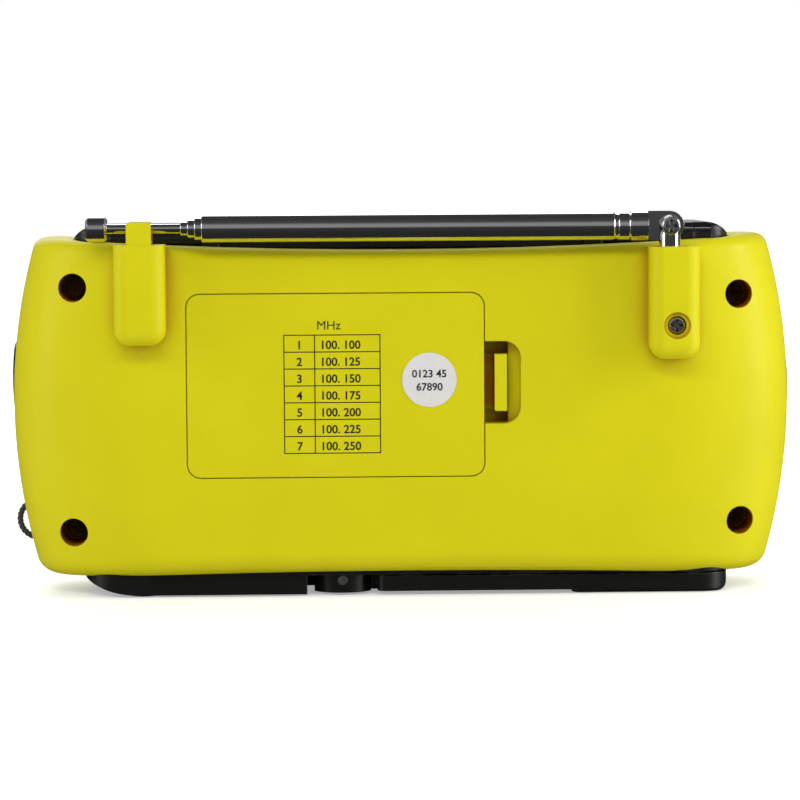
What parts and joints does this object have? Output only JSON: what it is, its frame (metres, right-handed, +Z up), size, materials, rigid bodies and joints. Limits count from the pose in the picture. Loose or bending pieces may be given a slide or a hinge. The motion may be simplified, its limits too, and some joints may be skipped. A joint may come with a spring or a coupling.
{
  "type": "portable radio",
  "caption": "Handheld emergency radio with folded telescopic antenna, rear battery door, wind-up crank under the base, solar lid on top, torch and tuning knob on the ends.",
  "frame": {"origin": "the bottom centre of the bounding box: on the resting plane, halfway between the torch face and the tuning knob face, and halfway between the antenna boss faces and the volume knob face; the case back face is at +24 mm in Y", "axes": "+Z up, +Y out of the back with the battery door, -Y out of the speaker side, +X towards the tuning knob"},
  "size_m": [0.2174, 0.0664, 0.1053],
  "materials": {
    "yellow_shell": "satin moulded ABS, fine grain",
    "black_shell": "satin black moulded plastic",
    "rubber": "matt",
    "chrome": "polished",
    "steel": "zinc plated",
    "ferrite": "sintered ferrite",
    "label": "paper label",
    "dark_panel": "printed",
    "clear": "clear acrylic",
    "solar": "silicon cells",
    "board": "solder mask",
    "cell_wrap": "shrink wrap",
    "gear": "natural acetal",
    "cone": "paper cone",
    "reflector": "vacuum metallised",
    "led": "clear epoxy",
    "pointer": "painted",
    "grey_button": "satin",
    "cord": "braided nylon"
  },
  "bodies": {
    "case": {"rear_shell": "yellow_shell", "front_shell": "yellow_shell", "base_skirt": "black_shell", "top_deck": "black_shell", "speaker_grille": "black_shell", "torch_bezel": "chrome", "rubber_feet": "rubber", "case_screws": "steel", "post_screw": "steel", "pivot_screw": "steel", "antenna_post": "chrome", "battery_box": "yellow_shell", "aa_cells": "cell_wrap", "backup_cells": "cell_wrap", "battery_springs": "steel", "hinge_pins": "steel", "dynamo_can": "steel", "gear_plate": "dark_panel", "speaker_frame": "steel", "speaker_cone": "cone", "dial_window": "clear", "dial_scale": "dark_panel", "main_board": "board", "board_switches": "steel", "indicator_leds": "led", "sockets": "dark_panel", "volume_control": "steel", "ferrite_rod": "ferrite", "tuning_capacitor": "clear", "torch_lens": "clear", "torch_reflector": "reflector", "torch_leds": "led", "strap_loop": "cord"},
    "antenna_base": {"antenna_tube": "chrome"},
    "antenna_second": {"antenna_section_2": "chrome"},
    "antenna_third": {"antenna_section_3": "chrome"},
    "antenna_fourth": {"antenna_section_4": "chrome"},
    "antenna_tip": {"antenna_rod": "chrome"},
    "lid": {"solar_lid": "black_shell", "lid_underside": "black_shell", "lamp_lens": "clear", "lamp_leds": "led", "solar_cell": "solar"},
    "door": {"battery_door": "yellow_shell", "round_label": "label"},
    "tuner": {"tuning_knob": "black_shell", "tuning_drum": "gear"},
    "pointer": {"dial_pointer": "pointer"},
    "volume": {"volume_knob": "black_shell"},
    "band": {"band_slider": "grey_button"},
    "light": {"light_slider": "grey_button"},
    "lamp_push": {"lamp_button": "grey_button"},
    "scan_push": {"scan_button": "grey_button"},
    "crank": {"crank_hub": "black_shell", "crank_gear": "gear", "fold_pin": "steel"},
    "arm": {"crank_arm": "black_shell"},
    "finger_disc": {"crank_knob": "black_shell"},
    "middle": {"middle_gear": "gear"},
    "rotor": {"dynamo_rotor": "gear"}
  },
  "joints": [
    {"name": "antenna_pivot", "type": "hinge", "parent": "case", "child": "antenna_base", "pos_m": [-0.072, 0.0282, 0.1013], "axis": [0, -1, 0], "range_deg": [0, 180]},
    {"name": "antenna_slide_2", "type": "slide", "parent": "antenna_base", "child": "antenna_second", "axis": [1, 0, 0], "range_m": [0, 0.1]},
    {"name": "antenna_slide_3", "type": "slide", "parent": "antenna_second", "child": "antenna_third", "axis": [1, 0, 0], "range_m": [0, 0.1]},
    {"name": "antenna_slide_4", "type": "slide", "parent": "antenna_third", "child": "antenna_fourth", "axis": [1, 0, 0], "range_m": [0, 0.1]},
    {"name": "antenna_slide_tip", "type": "slide", "parent": "antenna_fourth", "child": "antenna_tip", "axis": [1, 0, 0], "range_m": [0, 0.1]},
    {"name": "lid_hinge", "type": "hinge", "parent": "case", "child": "lid", "pos_m": [0, 0.0146, 0.0981], "axis": [-1, 0, 0], "range_deg": [0, 90]},
    {"name": "door_hinge", "type": "hinge", "parent": "case", "child": "door", "pos_m": [0.0594, 0.0238, 0.05835], "axis": [0, 0, -1], "range_deg": [0, 100]},
    {"name": "tuning_turn", "type": "hinge", "parent": "case", "child": "tuner", "pos_m": [0.1, -0.0138, 0.0585], "axis": [1, 0, 0], "range_deg": [0, 270]},
    {"name": "pointer_slide", "type": "slide", "parent": "case", "child": "pointer", "axis": [1, 0, 0], "range_m": [0, 0.0443]},
    {"name": "volume_turn", "type": "hinge", "parent": "case", "child": "volume", "pos_m": [0.07, -0.03, 0.034], "axis": [0, -1, 0], "range_deg": [0, 270]},
    {"name": "band_slide", "type": "slide", "parent": "case", "child": "band", "axis": [1, 0, 0], "range_m": [0, 0.008]},
    {"name": "light_slide", "type": "slide", "parent": "case", "child": "light", "axis": [1, 0, 0], "range_m": [0, 0.008]},
    {"name": "lamp_press", "type": "slide", "parent": "case", "child": "lamp_push", "axis": [0, 1, 0], "range_m": [0, 0.001], "stiffness_N_per_m": 600},
    {"name": "scan_press", "type": "slide", "parent": "case", "child": "scan_push", "axis": [0, 1, 0], "range_m": [0, 0.001], "stiffness_N_per_m": 600},
    {"name": "crank_turn", "type": "hinge", "parent": "case", "child": "crank", "pos_m": [0.017, 0.0088, 0.008], "axis": [0, 0, -1], "range_deg": [0, 90]},
    {"name": "crank_fold", "type": "hinge", "parent": "crank", "child": "arm", "pos_m": [0.017, 0.0088, 0.0041], "axis": [0, -1, 0], "range_deg": [0, 140]},
    {"name": "finger_disc_spin", "type": "hinge", "parent": "arm", "child": "finger_disc", "pos_m": [-0.075, 0.0088, 0.0031], "axis": [0, 0, 1], "continuous": true},
    {"name": "middle_spin", "type": "hinge", "parent": "case", "child": "middle", "pos_m": [0.0014, 0.0088, 0.016], "axis": [0, 0, -1], "range_deg": [-219, 0]},
    {"name": "rotor_spin", "type": "hinge", "parent": "case", "child": "rotor", "pos_m": [-0.0112, 0.0088, 0.02], "axis": [0, 0, -1], "range_deg": [0, 656]}
  ],
  "couplings": [
    {"joint": "pointer_slide", "follows": "tuning_turn", "m_per_rad": 0.0094},
    {"joint": "middle_spin", "follows": "crank_turn", "ratio": -2.4286},
    {"joint": "rotor_spin", "follows": "crank_turn", "ratio": 7.2857}
  ]
}
